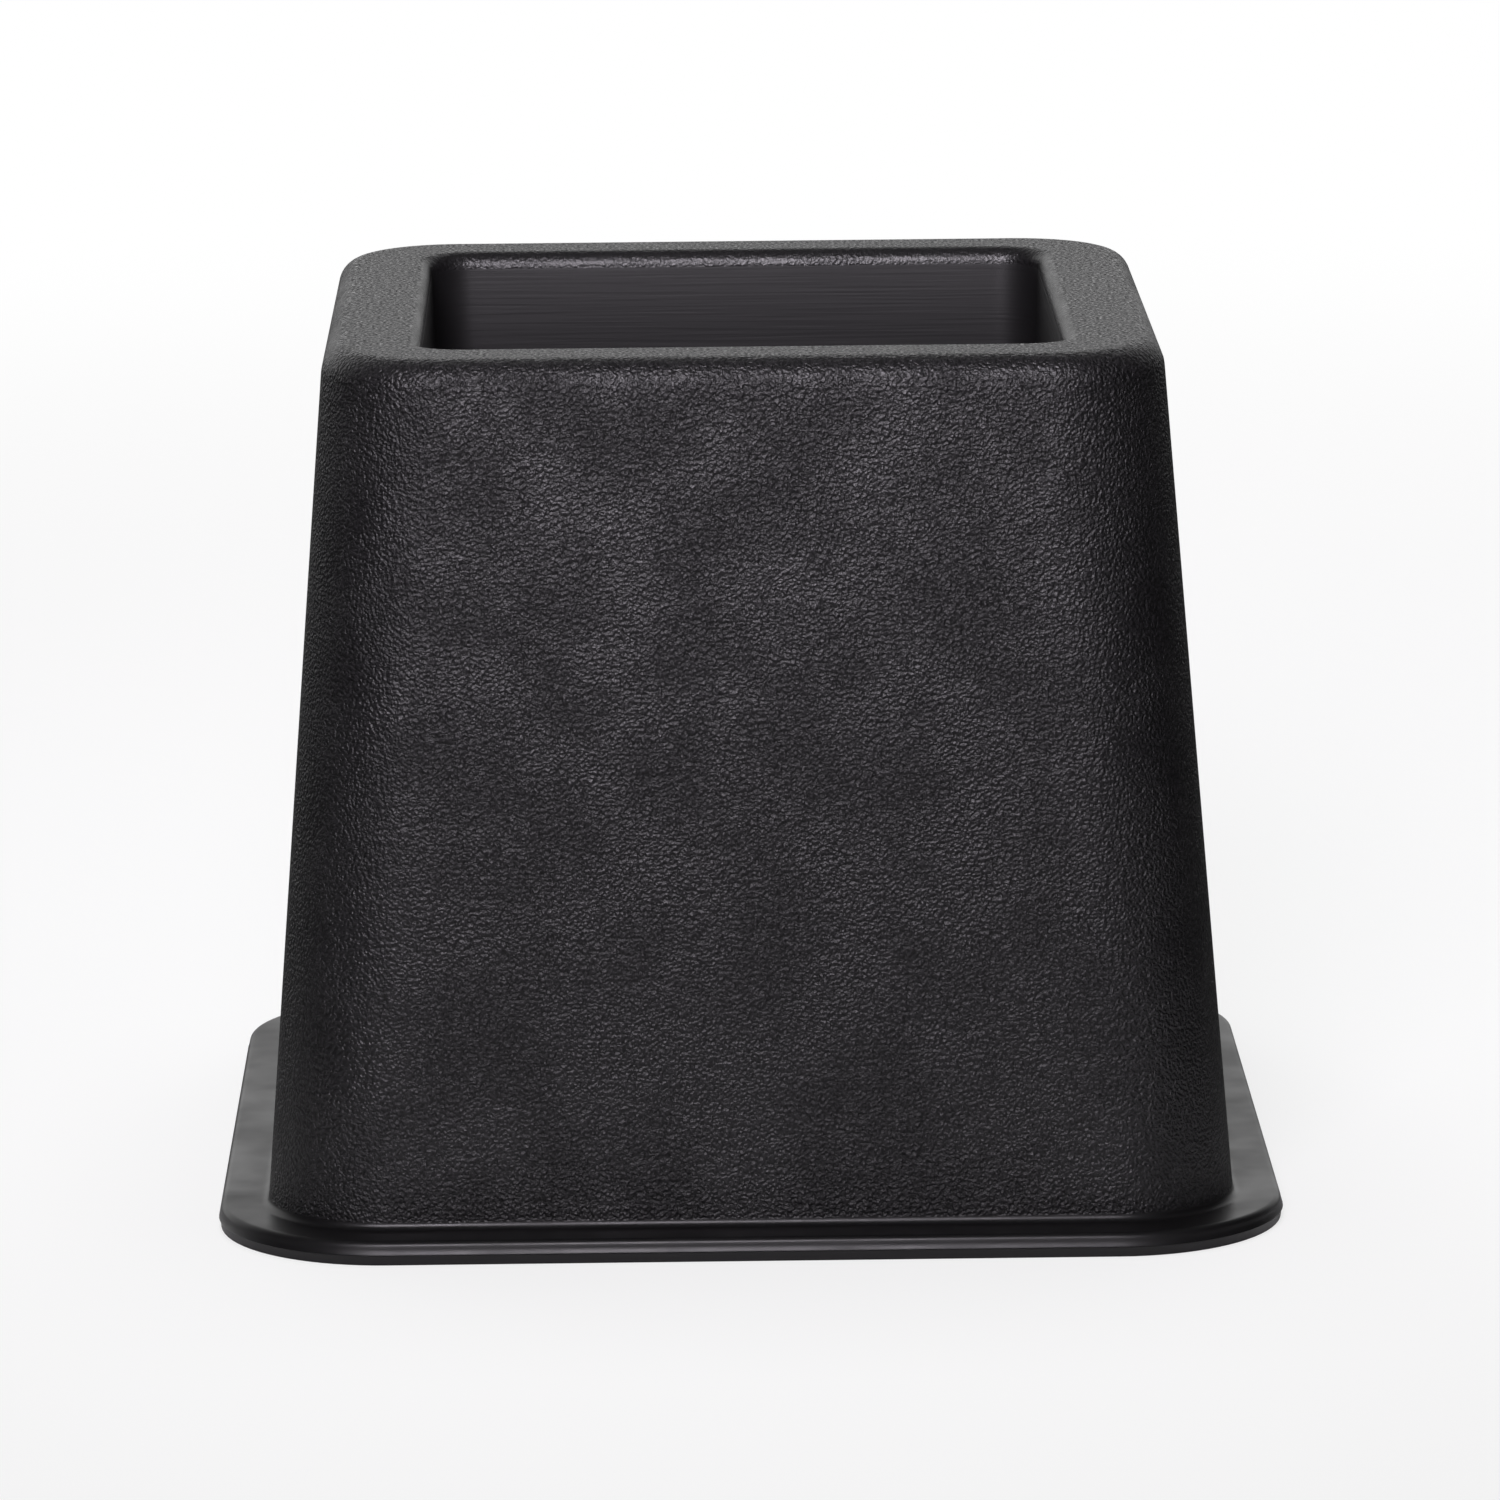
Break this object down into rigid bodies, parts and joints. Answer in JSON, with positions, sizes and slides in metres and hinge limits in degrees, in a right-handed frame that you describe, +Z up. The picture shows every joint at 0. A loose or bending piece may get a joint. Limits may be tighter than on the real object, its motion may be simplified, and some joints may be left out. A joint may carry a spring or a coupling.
{
  "type": "bed riser",
  "caption": "Square tapered bed riser moulded in one piece, with a recess in the top that takes a furniture leg, a flange round the foot and a ribbed hollow underneath.",
  "frame": {"origin": "centre of the footprint, on the floor", "axes": "+Z up, along the riser's axis; X and Y square to its sides"},
  "size_m": [0.16, 0.16, 0.132],
  "materials": {
    "moulded_plastic": "black polypropylene, fine leather grain on body and rim, smooth satin flange and recess"
  },
  "bodies": {
    "root": {"riser": "moulded_plastic"}
  },
  "joints": []
}
